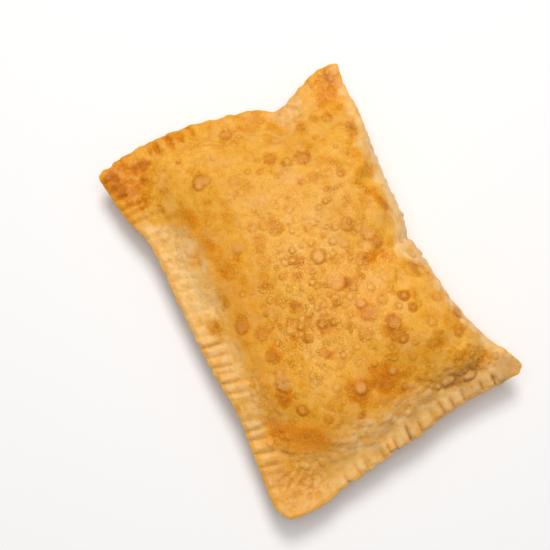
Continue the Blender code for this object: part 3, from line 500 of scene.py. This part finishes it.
def face(s, t, upper):
    plan, inward = flatSheet(s, t)
    marks, pillows = allForkMarks(plan, inward)
    rimMarks = sum(marks[side] * np.clip(1 - inward[side] / crust["rimPullWidth"], 0, 1) for side in marks)
    rim = np.minimum.reduce(list(inward.values()))
    nearRim = np.clip(1 - rim / crust["rimPullWidth"], 0, 1)
    x, y = plan[..., 0], plan[..., 1]
    raggedness = 1 + smoothStep(x, 60, 85) * (1.6 * smoothStep(y, -64, -50) - 0.8) * (1 - smoothStep(y, -5, 10))
    wander = crust["rimWander"] * raggedness * nearRim * swell(plan, crust["rimWanderLength"], crust["seed"] + 40, 24)
    outwards = plan / np.linalg.norm(plan, axis=-1, keepdims=True).clip(1e-3)
    plan = plan - outwards * (crust["rimPull"] * rimMarks + 0.5 * wander)[..., None]
    gain = crust["flangeThickness"] - crust["rimThickness"]
    thickness = crust["rimThickness"] + gain * smoothStep(rim, 0, crust["rimRounding"])
    share = puff(plan, inward, crust["topReach" if upper else "bellyReach"])
    nearSeam = smoothStep(share, 0.02, 0.25) * (1 - smoothStep(rim, *crust["puckerReach"]))
    uneven = share * crust["swellHeight"] * swell(plan, crust["swellLength"], crust["seed"] + 20 + upper)
    uneven += nearSeam * crust["puckerHeight"] * swell(plan, crust["puckerLength"], crust["seed"] + 30 + upper)
    level = seamLevel(plan, s, t)
    if upper:
        sunk = np.maximum.reduce([0.7 * marks["seam"], marks["left"], 1.15 * marks["right"]]) + creaseDepth(plan) * smoothStep(share, 0, 0.3)
        sunk = np.maximum(sunk, 0.65 * thinFolds(plan)[0])
        height = crust["topRise"] * share + uneven + crust["cellHeight"] * pillows - sunk
        z = level + thickness / 2 + np.maximum(height, -0.4 * thickness)
    else:
        z = level - thickness / 2 - np.maximum(crust["bellyDepth"] * share + uneven, 0)
    return np.concatenate([plan, z[..., None]], axis=-1)


def outward(s, t, upper, points, step=0.004):
    ahead = np.where(s < 0, step, -step)
    aside = np.where(t < 0, step, -step)
    one = (face(s + ahead, t, upper) - points) * np.sign(ahead)[..., None]
    two = (face(s, t + aside, upper) - points) * np.sign(aside)[..., None]
    normal = np.cross(one, two) * (1 if upper else -1)
    return normal / np.linalg.norm(normal, axis=-1, keepdims=True).clip(1e-12)


# soft lumps of the dough, about -1 to 1
def lumps(points, size, seed):
    offset = Vector((seed * 7.3, seed * 3.1, seed * 1.7))
    return np.array([noise.noise(Vector(place) / size + offset) for place in points])


# how far inside its own puffed cell each point lies: 0 on the creases between the cells
def cellGap(points, size, seed):
    offset = Vector((seed * 5.1, seed * 2.3, seed * 8.7))
    gaps = []
    for place in points:
        spot = Vector(place) / size + offset
        near = noise.voronoi(spot + 0.3 * noise.noise_vector(1.5 * spot))[0]
        gaps.append(near[1] - near[0])
    return np.array(gaps)


# crowds of small blisters, some with a browned top
def crowdOf(crowds, seed):
    rng = np.random.default_rng(seed)
    for x, y, spreadX, spreadY, count, low, high, height, tan, ringBrownAndShade in crowds:
        for _ in range(count):
            radius = low + (high - low) * rng.uniform(0, 1) ** 2
            brown = 0.45 * ringBrownAndShade * max(0, rng.uniform(-1.8, 1))
            yield (
                rng.normal(x, spreadX), rng.normal(y, spreadY), radius, height * radius * rng.uniform(0.6, 1.2),
                tan * rng.uniform(0, 1.3), ringBrownAndShade * (0.15 + 1.1 * rng.uniform(0, 1) ** 1.6), brown,
            )


# 1 in the middle of an ellipse and 0 outside it
def softSpot(plan, x, y, halfLength, halfWidth, degrees, ragged=1):
    turn = radians(degrees)
    away = plan - np.array((x, y))
    forward = away @ np.array((cos(turn), sin(turn))) / halfLength
    sideways = away @ np.array((-sin(turn), cos(turn))) / halfWidth
    return 1 - smoothStep(np.hypot(forward, sideways) * ragged, 0.4, 1.3)


# 1 where the skin is crumpled into lumps
def crumpledSkin(plan):
    ragged = 1 + 0.3 * swell(plan, 14, crust["seed"] + 60)
    return np.maximum.reduce([spot[5] * softSpot(plan, *spot[:5], ragged) for spot in crust["crumpled"]])


# raises the blisters; gives each point its distance from the nearest rim, negative inside, how tan
# that blister's top is, how dark its rim (browned dough and painted shade), and how browned its top
def blister(points, normals, named, crowd):
    raised, tan, ringBrownAndShade, browned = np.zeros((4, len(points)))
    gap = np.full(len(points), 3.0)
    wobble = 0.26 * lumps(points, 6, 3) + 0.12 * lumps(points, 2, 4)
    named = [
        (*spot[:3], spot[3] * crust["blisterHeight"], *spot[4:], max(0, 0.22 - 0.25 * spot[4])) for spot in named
    ]
    for number, (x, y, radius, height, tanTop, darkRing, brown) in enumerate([*named, *crowd]):
        nearest = np.argmin(np.hypot(points[:, 0] - x, points[:, 1] - y))
        middle = points[nearest]
        crowded = number >= len(named) and gap[nearest] < 0.2 * radius
        if crowded or np.hypot(middle[0] - x, middle[1] - y) > 2:
            continue
        near = np.flatnonzero(np.abs(points - middle).max(axis=1) < 1.2 * radius + 3)
        away = points[near] - middle
        distance = np.linalg.norm(away, axis=1)
        out = distance / radius * (1 + wobble[near] * min(1, radius / 6) ** 2)
        raised[near] = np.maximum(raised[near], 0.35 * raised[near] + height * np.clip(1 - out**4, 0, 1))
        uneven = out * (1 + 1.8 * wobble[near])
        browned[near] = np.maximum(browned[near], brown * (1 - smoothStep(uneven, 0.35, 1.35)))
        edge = (out - 1) * np.where(out < 1, max(radius, 2.8), radius)
        nearer = edge < gap[near]
        chosen = near[nearer]
        # painted shade: the rim is darker on the +x, -y side, away from the key light
        shadeAwayFromLight = 1 + 0.4 * (0.86 * away[:, 0] - 0.5 * away[:, 1]) / (distance + 0.4 * radius)
        gap[chosen] = edge[nearer]
        tan[chosen] = tanTop
        ringBrownAndShade[chosen] = darkRing * shadeAwayFromLight[nearer]
    return points + normals * raised[:, None], {"tan": tan, "ringBrownAndShade": ringBrownAndShade, "rimGap": gap}, browned


def buildSheet(bm):
    bmesh.ops.create_grid(bm, x_segments=crust["columns"], y_segments=crust["rows"], size=1)
    raised = bmesh.ops.extrude_face_region(bm, geom=bm.faces[:], use_keep_orig=True)["geom"]
    upper = [item for item in raised if isinstance(item, bmesh.types.BMVert)]
    bmesh.ops.translate(bm, vec=(0, 0, 1), verts=upper)
    walls = [edge for edge in bm.edges if abs(edge.verts[0].co.z - edge.verts[1].co.z) > 0.5]
    bmesh.ops.subdivide_edges(bm, edges=walls, cuts=2, use_grid_fill=True)
    top = [edge for edge in bm.edges if min(edge.verts[0].co.z, edge.verts[1].co.z) > 0.99]
    bmesh.ops.subdivide_edges(bm, edges=top, cuts=1, use_grid_fill=True)
    bmesh.ops.recalc_face_normals(bm, faces=bm.faces[:])


maskNames = ("browning", "pale", "tan", "ringBrownAndShade", "rimGap", "groove", "paintedShade", "amberAndPaintedLight", "lump", "bubbly")


def finerAtFold(t):
    return t + crust["crowdingAtFold"] * np.sin(np.pi * (t + 1) / 2) * (1 + t) / 2


def shapeSheet(bm):
    grid = np.array([vert.co for vert in bm.verts])
    s, t, level = grid[:, 0], np.clip(finerAtFold(grid[:, 1]), -1, 1), grid[:, 2]
    count = len(grid)
    shaped = np.zeros((count, 3))
    looks = {name: np.zeros(count) for name in maskNames}
    for upper in (True, False):
        layer = level > 0.99 if upper else level < 0.01
        points = face(s[layer], t[layer], upper)
        normals = outward(s[layer], t[layer], upper, points)
        plan, inward = flatSheet(s[layer], t[layer])
        crumpled = crumpledSkin(plan)
        bumpy = 1.6 * lumps(points, crust["lumpSize"], 31) + 0.5 * lumps(points, crust["lumpSize"] / 2, 32)
        pimples = (crust["lumpHeight"] + crust["crumpleHeight"] * crumpled) * bumpy + 0.22 * lumps(points, 6.5, 2)
        cellTop, cellEdge = np.zeros((2, len(points)))
        lumpy = crumpled > 0.02
        gap = cellGap(points[lumpy], crust["cellSize"], 5)
        cellTop[lumpy] = crumpled[lumpy] * smoothStep(gap, 0, 0.45)
        cellEdge[lumpy] = crumpled[lumpy] * (1 - smoothStep(gap, 0, 0.14))
        pimples += crust["cellPuff"] * cellTop
        crowd = list(crowdOf(crust["crowds" if upper else "bellyCrowds"], crust["seed"] + 50 + upper))
        named = crust["blisters"] if upper else ()
        points, found, browned = blister(points + normals * pimples[:, None], normals, named, crowd)
        shaped[layer] = points
        for name, values in found.items():
            looks[name][layer] = values
        marks, pillows = allForkMarks(plan, inward)
        if upper:
            # darker fork grooves and folds: partly browner dough, partly painted shade in the recesses
            dark = np.maximum(smoothStep(marks["right"], 0.1, 0.7), 0.6 * smoothStep(marks["seam"], 0.1, 0.8))
            lines = np.maximum(dark, 0.75 * thinFolds(plan)[1])
            ragged = 1 + 0.2 * swell(plan, 12, crust["seed"] + 70)
            looks["groove"][layer] = lines
            # painted shade spots, and more orange spots that are partly painted light
            for name in ("paintedShade", "amberAndPaintedLight"):
                spots = [spot[5] * softSpot(plan, *spot[:5], ragged) for spot in crust[name]]
                looks[name][layer] = np.maximum.reduce(spots)
        # browning: a golden middle, stains, and pale dough where the oil reached it least
        ragged = 1 + 0.28 * lumps(points, 6, 14) + 0.12 * lumps(points, 2.5, 17)
        value = 0.24 + 0.08 * lumps(points, 24, 11) + 0.11 * lumps(points, 8, 12) + 0.06 * lumps(points, 3, 13)
        blotches = 0.14 * smoothStep(lumps(points, 6.5, 18), 0.1, 0.36) + 0.08 * smoothStep(lumps(points, 3, 19), 0.15, 0.4)
        allStained, spared = np.zeros((2, len(points)))
        # lump tops and cell tops painted lighter, the creases between cells darker: partly paler and browner dough,
        # partly painted highlight and painted shade
        value += blotches * (1 - crumpled) + 0.8 * browned - (0.04 + 0.05 * crumpled) * bumpy
        value += 0.2 * cellEdge - 0.22 * (cellTop - 0.5 * crumpled)
        if upper:
            value += 0.3 * marks["left"] + 0.35 * marks["seam"] * (1 - smoothStep(plan[:, 0], -75, -60))
        cream = np.ones(len(points))
        if upper:
            for x, y, halfLength, halfWidth, degrees, strength in crust["stains"]:
                stained = strength * softSpot(plan, x, y, halfLength, halfWidth, degrees, ragged)
                value += 0.4 * stained
                allStained, spared = np.maximum(allStained, stained), np.maximum(spared, (-stained - 0.2) * (x > 70))
                cream = cream * (1 - np.clip(1.3 * stained, -0.6, 1))
        looks["browning"][layer] = value
        looks["lump"][layer] = np.clip(1.1 * spared + 0.3 * (cellTop - 0.4 * crumpled) * smoothStep(plan[:, 0], 62, 74), 0, 1)
        # the creases between crumpled cells are darkened too: partly browner dough, partly painted shade
        looks["groove"][layer] = (looks["groove"][layer] + 0.14 * cellEdge * cream) * (1 - np.clip(1.4 * spared, 0, 0.9))
        bubbly = softSpot(plan, 22, -14, 34, 30, 0, ragged) + 0.5 * softSpot(plan, -5, 12, 50, 34, 0, ragged)
        looks["bubbly"][layer] = np.clip(0.25 + bubbly + (0.9 * allStained + 0.5 * crumpled) * smoothStep(plan[:, 0], -82, -70), 0, 1.2) if upper else 0.3
        drift = 6.0 * lumps(points, 15, 15) + 4.0 * lumps(points, 5, 16) + 1.5 * lumps(points, 2, 21)
        x, y = plan[:, 0], plan[:, 1]
        seamReach = 16.5 * smoothStep(x, -72, -50) - 6 * smoothStep(x, 0, 55)
        seamReach += 2.5 * smoothStep(x, -46, -36) * (1 - smoothStep(x, -30, -14))
        beyond = inward["seam"] + drift - seamReach
        seamPale = 1 - smoothStep(beyond, -4.5, 3.5)
        # a bright orange band beside the pale seam strip: painted light offsetting the shade on that slope
        beside = 0.5 * smoothStep(beyond, 1, 5) * (1 - smoothStep(beyond, 7, 14))
        beside += 0.12 * smoothStep(inward["seam"], 10, 15) * (1 - smoothStep(beyond, 0, 4))
        beside = beside * smoothStep(x, -64, -50) * (1 - smoothStep(x, 60, 72))
        if upper:
            looks["amberAndPaintedLight"][layer] = np.maximum(looks["amberAndPaintedLight"][layer], beside)
        seamPale = seamPale * (1 - 0.32 * smoothStep(inward["seam"], 10, 15)) * smoothStep(x + drift, -76, -62)
        seamPale = seamPale * (1.12 - 0.42 * smoothStep(x, -8, 6) - 0.35 * smoothStep(x, 50, 66))
        rightPale = 1 - 0.4 * smoothStep(inward["right"] + drift, 9, 14)
        rightReach = 23 - 9 * smoothStep(y, 12, 30)
        rightPale = (0.95 - 0.42 * (1 - smoothStep(y, -40, -20))) * rightPale * (1 - smoothStep(inward["right"] + drift - rightReach, -4, 4))
        foldReach = 8 - 5 * smoothStep(x, 10, 35) + 3 * smoothStep(x, -50, -20) - 3
        foldPale = 1 - smoothStep(inward["fold"] + 1.2 * drift - foldReach, -3, 3)
        foldPale = foldPale * (1.25 + 0.3 * smoothStep(x, -42, -32) * (1 - smoothStep(x, -4, 4)))
        pucker = 0.9 * softSpot(plan, -82, 33, 11, 10, 0, ragged)
        uneven = 0.86 + 0.7 * lumps(points, 5, 22) + 0.4 * lumps(points, 2, 23)
        uneven *= 0.6 + 0.4 * smoothStep(np.minimum.reduce(list(inward.values())), 0.5, 3.0)
        # pillow tops on the flange and cell tops painted paler: partly paler dough, partly painted highlight
        cells = 0.5 * pillows * smoothStep(x, 0, 6) + 0.3 * (cellTop - 0.5 * crumpled) if upper else 0
        looks["pale"][layer] = uneven * cream * (cells + np.maximum.reduce([seamPale, rightPale, foldPale, pucker]))
    # the cut edge between both faces swells a little
    wall = (level > 0.01) & (level < 0.99)
    over, under = face(s[wall], t[wall], True), face(s[wall], t[wall], False)
    share = level[wall][:, None]
    outwards = over.copy()
    outwards[:, 2] = 0
    outwards /= np.linalg.norm(outwards, axis=1, keepdims=True)
    shaped[wall] = under + (over - under) * share + outwards * crust["rimBulge"] * (1 - 0.7 * smoothStep(over[:, :1], 80, 90)) * np.sin(np.pi * share)
    # at the right end the shaded cut edge is painted paler and less brown, painted light, and greyed with painted
    # shade
    cut = {"browning": 0.3 - 0.2 * smoothStep(shaped[wall][:, 0], 80, 90), "pale": 0.6 + 0.4 * smoothStep(shaped[wall][:, 0], 80, 90), "rimGap": 3}
    for name, value in cut.items():
        looks[name][wall] = value
    looks["browning"][wall] += 0.5 * softSpot(shaped[wall][:, :2], -98, -60, 14, 22, 0)
    looks["paintedShade"][wall] = 0.35 * smoothStep(shaped[wall][:, 0], 80, 90)
    looks["pale"][wall] *= 1 - softSpot(shaped[wall][:, :2], -98, -50, 20, 30, 0)
    shaped[:, 2] = np.maximum(shaped[:, 2], 0)
    return shaped, looks


def centreOnTable(shaped):
    middle = (shaped.min(axis=0) + shaped.max(axis=0)) / 2
    return (shaped - np.array((middle[0], middle[1], 0))) * millimetre


# ---- the dough's finish

skin = {
    "ramp": ((0.0, "#ebb250"), (0.2, "#e7a73e"), (0.4, "#dc9524"), (0.6, "#cf7e0b"), (0.8, "#be6d04"), (1.0, "#a65906")),
    "mottle": 0.3, "grain": 0.37, "bubbled": 0.2,  # how much each pattern changes the browning
    # blisters too small for the mesh: spacing in mm, radii and rim as shares of it, the least chance
    "discs": ((5.8, 0.2, 0.34, 0.11, 0.55), (3.1, 0.2, 0.32, 0.15, 0.6)),
    "discRing": 0.42, "discLine": "#b27611", "discTop": 0.22, "discColour": "#d58b2c",
    "rimInside": 1.7, "rimCrest": 0.45, "rimOutside": 0.75, "topReach": 2.2,  # of the modelled blisters, in mm
    "yellow": "#e9ad38", "yellowShare": 0.4, "yellowSize": 13,
    "pinkish": "#e4aa5c", "pinkishShare": 0.45, "pinkishSize": 10,
    # the groove tint is partly painted shade in the grooves and folds; the ring tint is partly painted shade on the
    # blisters' steep sides
    "pale": ("#edc07c", 0.77), "tan": ("#dc9547", 0.6), "ringBrownAndShade": ("#ad680c", 0.6), "ringTop": ("#f2ca7c", 0.25), "groove": ("#a2611a", 0.8),
    "paintedShade": ("#936c3a", 0.8), "lump": ("#db9f64", 0.8), "amberAndPaintedLight": ("#f5921c", 0.55),
    # painted glints: bright specks standing in for highlights on the oily skin bubbles
    "paintedGlint": ("#f4ca78", 0.58), "paintedGlintPatch": 9,
    "bumpDistance": 0.0003, "bumpStrength": 0.7,
}


# small flat blisters on the skin, seen from above: how strong their rims and their tops are
def smallBlisters(tree, place, spacing, low, high, rim, least):
    scale = 1 / (spacing * millimetre)
    cells = addNode(
        tree, "ShaderNodeTexVoronoi", {"Scale": scale, "Randomness": 0.92}, {"Vector": place},
        voronoi_dimensions="2D",
    )
    chance = addNode(tree, "ShaderNodeSeparateColor", links={"Color": cells.outputs["Color"]})
    radius = addNode(
        tree, "ShaderNodeMath", {1: high - low, 2: low}, {0: chance.outputs[0]}, operation="MULTIPLY_ADD"
    )
    edge = addNode(
        tree, "ShaderNodeMath", links={0: cells.outputs["Distance"], 1: radius.outputs[0]}, operation="SUBTRACT"
    )
    besideRim = addNode(tree, "ShaderNodeMath", links={0: edge.outputs[0]}, operation="ABSOLUTE")
    line = addNode(
        tree, "ShaderNodeMapRange", {1: rim, 2: 0.0}, {0: besideRim.outputs[0]}, interpolation_type="SMOOTHSTEP"
    )
    inside = addNode(
        tree, "ShaderNodeMapRange", {1: 0.02, 2: -rim}, {0: edge.outputs[0]}, interpolation_type="SMOOTHSTEP"
    )
    shown = addNode(tree, "ShaderNodeMapRange", {1: least, 2: 0.95}, {0: chance.outputs[1]})
    return [
        addNode(tree, "ShaderNodeMath", links={0: part.outputs[0], 1: shown.outputs[0]}, operation="MULTIPLY").outputs[0]
        for part in (line, inside)
    ]


# the first patterns plus each further one times its weight
def weighted(tree, start, parts):
    for source, weight, shift in parts:
        part = addNode(tree, "ShaderNodeMath", {1: weight, 2: shift}, {0: source}, operation="MULTIPLY_ADD")
        start = addNode(tree, "ShaderNodeMath", links={0: start, 1: part.outputs[0]}).outputs[0]
    return start


def tinted(tree, colour, amount, tint, most):
    share = addNode(tree, "ShaderNodeMath", {1: most}, {0: amount}, operation="MULTIPLY", use_clamp=True)
    mixed = addNode(
        tree, "ShaderNodeMix", {7: linearColour(tint)}, {0: share.outputs[0], 6: colour}, data_type="RGBA"
    )
    return mixed.outputs[2]


# golden base by browning, drifting between yellow and a pinkish tan
def bakedColour(tree, place, browning):
    ramp = addNode(tree, "ShaderNodeValToRGB", links={"Fac": browning})
    elements = ramp.color_ramp.elements
    while len(elements) < len(skin["ramp"]):
        elements.new(0.5)
    for element, (position, colour) in zip(elements, skin["ramp"]):
        element.position = position
        element.color = linearColour(colour)
    colour = ramp.outputs["Color"]
    unbrowned = addNode(
        tree, "ShaderNodeMapRange", {1: 0.62, 2: 0.34}, {0: browning}, interpolation_type="SMOOTHSTEP"
    ).outputs[0]
    for name in ("yellow", "pinkish"):
        drift = addNode(tree, "ShaderNodeTexNoise", {
            "Scale": 1 / (skin[name + "Size"] * millimetre), "Detail": 3, "Roughness": 0.6,
        }, {"Vector": place})
        amount = addNode(
            tree, "ShaderNodeMapRange", {1: 0.48, 2: 0.66}, {0: drift.outputs["Fac"]}, interpolation_type="SMOOTHSTEP"
        )
        amount = addNode(tree, "ShaderNodeMath", links={0: amount.outputs[0], 1: unbrowned}, operation="MULTIPLY")
        colour = tinted(tree, colour, amount.outputs[0], skin[name], skin[name + "Share"])
    return colour


# wheat dough fried in deep oil: a matt, slightly oily skin, golden where it is thick, brown where
# it blistered, cream where it lay in the fold or the pressed seam; painted glints, painted shade and some painted
# light are mixed into its colour
def friedDough():
    material, tree = newMaterial("deep-fried wheat dough")
    place = addNode(tree, "ShaderNodeTexCoord").outputs["Object"]
    mask = {
        name: addNode(tree, "ShaderNodeAttribute", attribute_name=name).outputs["Fac"]
        for name in maskNames
    }
    # skin bubbles 1 mm apart, so 1000 to the metre; the grain is 0.8 mm, the mottle 3 mm
    fine = addNode(tree, "ShaderNodeTexVoronoi", {"Scale": 1000, "Randomness": 1.0}, {"Vector": place}).outputs["Distance"]
    grain = addNode(tree, "ShaderNodeTexNoise", {"Scale": 1300, "Detail": 3, "Roughness": 0.65}, {"Vector": place}).outputs["Fac"]
    mottle = addNode(tree, "ShaderNodeTexNoise", {"Scale": 330, "Detail": 4, "Roughness": 0.6}, {"Vector": place}).outputs["Fac"]
    browner = weighted(tree, mask["browning"], (
        (mottle, skin["mottle"], -skin["mottle"] / 2), (grain, skin["grain"], -skin["grain"] / 2),
        (fine, skin["bubbled"], -0.45 * skin["bubbled"]),
    ))
    colour = bakedColour(tree, place, browner)
    # rims of the modelled blisters: a thin brown line where the distance from the rim is near zero, partly browned
    # dough and partly painted shade on the blister's steep side
    gap = weighted(tree, mask["rimGap"], ((mottle, 1.2, -0.6),))
    inner = addNode(
        tree, "ShaderNodeMapRange", {1: -skin["rimInside"], 2: -skin["rimCrest"]}, {0: gap}, interpolation_type="SMOOTHSTEP"
    )
    rimLine = addNode(
        tree, "ShaderNodeMapRange", {1: skin["rimOutside"], 2: 0.0, 3: 0.0}, {0: gap, 4: inner.outputs[0]},
        interpolation_type="SMOOTHSTEP",
    )
    rimLine = addNode(tree, "ShaderNodeMath", links={0: rimLine.outputs[0], 1: mask["ringBrownAndShade"]}, operation="MULTIPLY").outputs[0]
    onTop = addNode(
        tree, "ShaderNodeMapRange", {1: -0.1, 2: -skin["topReach"]}, {0: gap}, interpolation_type="SMOOTHSTEP"
    )
    tanTop = addNode(tree, "ShaderNodeMath", links={0: onTop.outputs[0], 1: mask["tan"]}, operation="MULTIPLY").outputs[0]
    # the small flat ones, where the skin is bubbly
    wobble = addNode(tree, "ShaderNodeTexNoise", {"Scale": 420, "Detail": 1}, {"Vector": place})
    wobble = addNode(tree, "ShaderNodeVectorMath", {1: (0.5, 0.5, 0.5)}, {0: wobble.outputs["Color"]}, operation="SUBTRACT")
    wobble = addNode(tree, "ShaderNodeVectorMath", {"Scale": 0.0011}, {0: wobble.outputs[0]}, operation="SCALE")
    shifted = addNode(tree, "ShaderNodeVectorMath", links={0: place, 1: wobble.outputs[0]}, operation="ADD").outputs[0]
    lines, tops = zip(*[smallBlisters(tree, shifted, *setting) for setting in skin["discs"]])
    lines, tops = [
        addNode(tree, "ShaderNodeMath", links={0: pair[0], 1: pair[1]}, operation="MAXIMUM").outputs[0]
        for pair in (lines, tops)
    ]
    lines, tops = [
        addNode(tree, "ShaderNodeMath", links={0: part, 1: mask["bubbly"]}, operation="MULTIPLY").outputs[0]
        for part in (lines, tops)
    ]
    # painted glints: bright specks at the centres of the fine skin bubbles, in patches, on less browned, bubbly skin
    paintedGlint = addNode(tree, "ShaderNodeMapRange", {1: 0.42, 2: 0.1}, {0: fine}, interpolation_type="SMOOTHSTEP").outputs[0]
    patch = addNode(tree, "ShaderNodeTexNoise", {
        "Scale": 1 / (skin["paintedGlintPatch"] * millimetre), "Detail": 2, "Roughness": 0.6,
    }, {"Vector": place})
    patch = addNode(
        tree, "ShaderNodeMapRange", {1: 0.45, 2: 0.63, 3: 0.25}, {0: patch.outputs["Fac"]}, interpolation_type="SMOOTHSTEP"
    ).outputs[0]
    unbrowned = addNode(
        tree, "ShaderNodeMapRange", {1: 0.75, 2: 0.4, 3: 0.3}, {0: browner}, interpolation_type="SMOOTHSTEP"
    ).outputs[0]
    for share in (patch, unbrowned, mask["bubbly"]):
        paintedGlint = addNode(tree, "ShaderNodeMath", links={0: paintedGlint, 1: share}, operation="MULTIPLY").outputs[0]
    colour = tinted(tree, colour, mask["pale"], *skin["pale"])
    # more orange dough, partly painted light on shaded slopes
    colour = tinted(tree, colour, mask["amberAndPaintedLight"], *skin["amberAndPaintedLight"])
    ringTop = addNode(
        tree, "ShaderNodeMapRange", {1: -1.2, 2: -2.6}, {0: gap}, interpolation_type="SMOOTHSTEP"
    )
    ringTop = addNode(tree, "ShaderNodeMath", links={0: ringTop.outputs[0], 1: mask["ringBrownAndShade"]}, operation="MULTIPLY").outputs[0]
    colour = tinted(tree, colour, tanTop, *skin["tan"])
    colour = tinted(tree, colour, mask["lump"], *skin["lump"])
    colour = tinted(tree, colour, ringTop, *skin["ringTop"])
    colour = tinted(tree, colour, tops, skin["discColour"], skin["discTop"])
    colour = tinted(tree, colour, rimLine, *skin["ringBrownAndShade"])
    colour = tinted(tree, colour, lines, skin["discLine"], skin["discRing"])
    # painted shade
    colour = tinted(tree, colour, mask["paintedShade"], *skin["paintedShade"])
    # browner dough and painted shade in the grooves, folds and cell creases
    colour = tinted(tree, colour, mask["groove"], *skin["groove"])
    colour = tinted(tree, colour, paintedGlint, *skin["paintedGlint"])
    # relief too small for the mesh: skin bubbles, grain, the edges of the flat blisters
    height = addNode(tree, "ShaderNodeMath", {1: -0.45}, {0: fine}, operation="MULTIPLY").outputs[0]
    height = weighted(tree, height, (
        (grain, 0.55, 0), (mottle, 0.5, 0), (tops, 0.7, 0), (lines, -0.35, 0), (rimLine, -0.5, 0),
    ))
    bump = addNode(tree, "ShaderNodeBump", {
        "Strength": skin["bumpStrength"], "Distance": skin["bumpDistance"],
    }, {"Height": height})
    rough = addNode(tree, "ShaderNodeMath", {1: 0.2, 2: 0.26}, {0: grain}, operation="MULTIPLY_ADD")
    shader = addNode(tree, "ShaderNodeBsdfPrincipled", {
        "IOR": 1.46, "Specular IOR Level": 0.16, "Subsurface Weight": 0.1, "Subsurface Scale": 0.002,
        "Subsurface Radius": (1.0, 0.5, 0.12),
    }, {"Base Color": colour, "Roughness": rough.outputs[0], "Normal": bump.outputs[0]})
    addNode(tree, "ShaderNodeOutputMaterial", links={"Surface": shader.outputs[0]})
    return material


def addCrust():
    mesh = bpy.data.meshes.new("crust")
    bm = bmesh.new()
    buildSheet(bm)
    shaped, looks = shapeSheet(bm)
    for vert, place in zip(bm.verts, centreOnTable(shaped)):
        vert.co = place
    bm.to_mesh(mesh)
    bm.free()
    for name, values in looks.items():
        layer = mesh.attributes.new(name, "FLOAT", "POINT")
        layer.data.foreach_set("value", values.astype(np.float32))
    mesh.shade_smooth()
    mesh.materials.append(friedDough())
    piece = bpy.data.objects.new("crust", mesh)
    bpy.context.scene.collection.objects.link(piece)
    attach(piece, "root")
    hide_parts("pastry")
    print("crust shaped:", len(mesh.vertices), "points")


addCrust()
